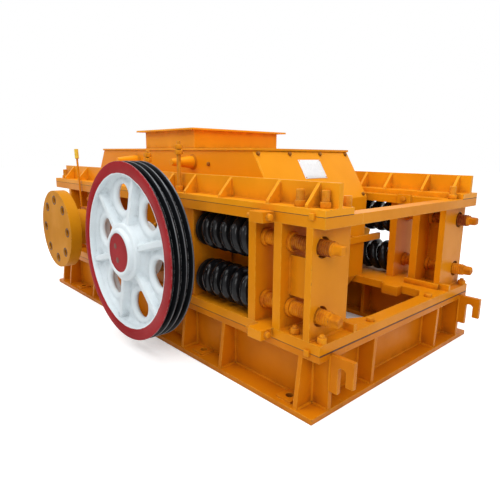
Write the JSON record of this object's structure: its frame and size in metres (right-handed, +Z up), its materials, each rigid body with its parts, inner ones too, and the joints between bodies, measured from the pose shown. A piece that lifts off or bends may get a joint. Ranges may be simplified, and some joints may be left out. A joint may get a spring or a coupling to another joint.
{
  "type": "double roll crusher",
  "caption": "Double roll crusher: welded frame, hooded rolls under a feed hopper, belt pulleys, and one roll sliding against coil springs.",
  "frame": {"origin": "on the floor, under the centre of the box around the whole machine, lifting hooks included", "axes": "+X along the machine towards the adjusting screws, +Y across it towards the back, +Z up"},
  "size_m": [1.876, 1.246, 0.797],
  "materials": {
    "orange_paint": "orange-yellow enamel paint, semi-gloss, over welded steel plate",
    "painted_screw": "orange paint over steel thread, rust brown where bare",
    "black_spring": "gloss black paint over spring steel",
    "roll_steel": "turned wear-steel roll surface, dull",
    "shaft_steel": "turned steel",
    "pulley_paint": "pale grey-white paint on a cast pulley, red rim and hub face, black grooves"
  },
  "bodies": {
    "frame": {"base_beam_front": "orange_paint", "base_beam_back": "orange_paint", "base_end_left": "orange_paint", "base_end_right": "orange_paint", "lifting_hook_front": "orange_paint", "lifting_hook_back": "orange_paint", "lower_rail_front": "orange_paint", "lower_rail_back": "orange_paint", "lower_cross_bars": "orange_paint", "top_rail_front": "orange_paint", "top_rail_back": "orange_paint", "top_cross_bars": "orange_paint", "top_beam_front": "orange_paint", "top_beam_back": "orange_paint", "end_column_front": "orange_paint", "end_column_back": "orange_paint", "pressure_plate_front": "orange_paint", "pressure_plate_back": "orange_paint", "fixed_bearing_front": "orange_paint", "fixed_bearing_back": "orange_paint", "hood_side_front": "orange_paint", "hood_side_back": "orange_paint", "hood_roof": "orange_paint", "hood_end_left": "orange_paint", "hood_end_right": "orange_paint", "feed_hopper": "orange_paint", "discharge_chute": "orange_paint", "lever": "orange_paint", "adjusting_screws_front": "painted_screw", "adjusting_screws_back": "painted_screw", "spring_upper_front": "black_spring", "spring_lower_front": "black_spring", "spring_upper_back": "black_spring", "spring_lower_back": "black_spring"},
    "carriage": {"moving_bearing_front": "orange_paint", "moving_bearing_back": "orange_paint"},
    "moving_roller": {"moving_roll": "roll_steel", "moving_shaft": "shaft_steel", "drive_pulley_front": "pulley_paint", "shaft_flange_back": "orange_paint"},
    "fixed_roller": {"fixed_roll": "roll_steel", "fixed_shaft": "shaft_steel", "drive_pulley_back": "pulley_paint", "shaft_flange_front": "orange_paint"}
  },
  "joints": [
    {"name": "roll_relief", "type": "slide", "parent": "frame", "child": "carriage", "axis": [1, 0, 0], "range_m": [0, 0.02], "stiffness_N_per_m": 4000000, "springref_m": -0.01, "deforming": ["spring_upper_front", "spring_lower_front", "spring_upper_back", "spring_lower_back"]},
    {"name": "moving_roll_spin", "type": "hinge", "parent": "carriage", "child": "moving_roller", "pos_m": [0.14, 0, 0.367], "axis": [0, 1, 0], "continuous": true},
    {"name": "fixed_roll_spin", "type": "hinge", "parent": "frame", "child": "fixed_roller", "pos_m": [-0.482, 0, 0.367], "axis": [0, 1, 0], "continuous": true}
  ]
}
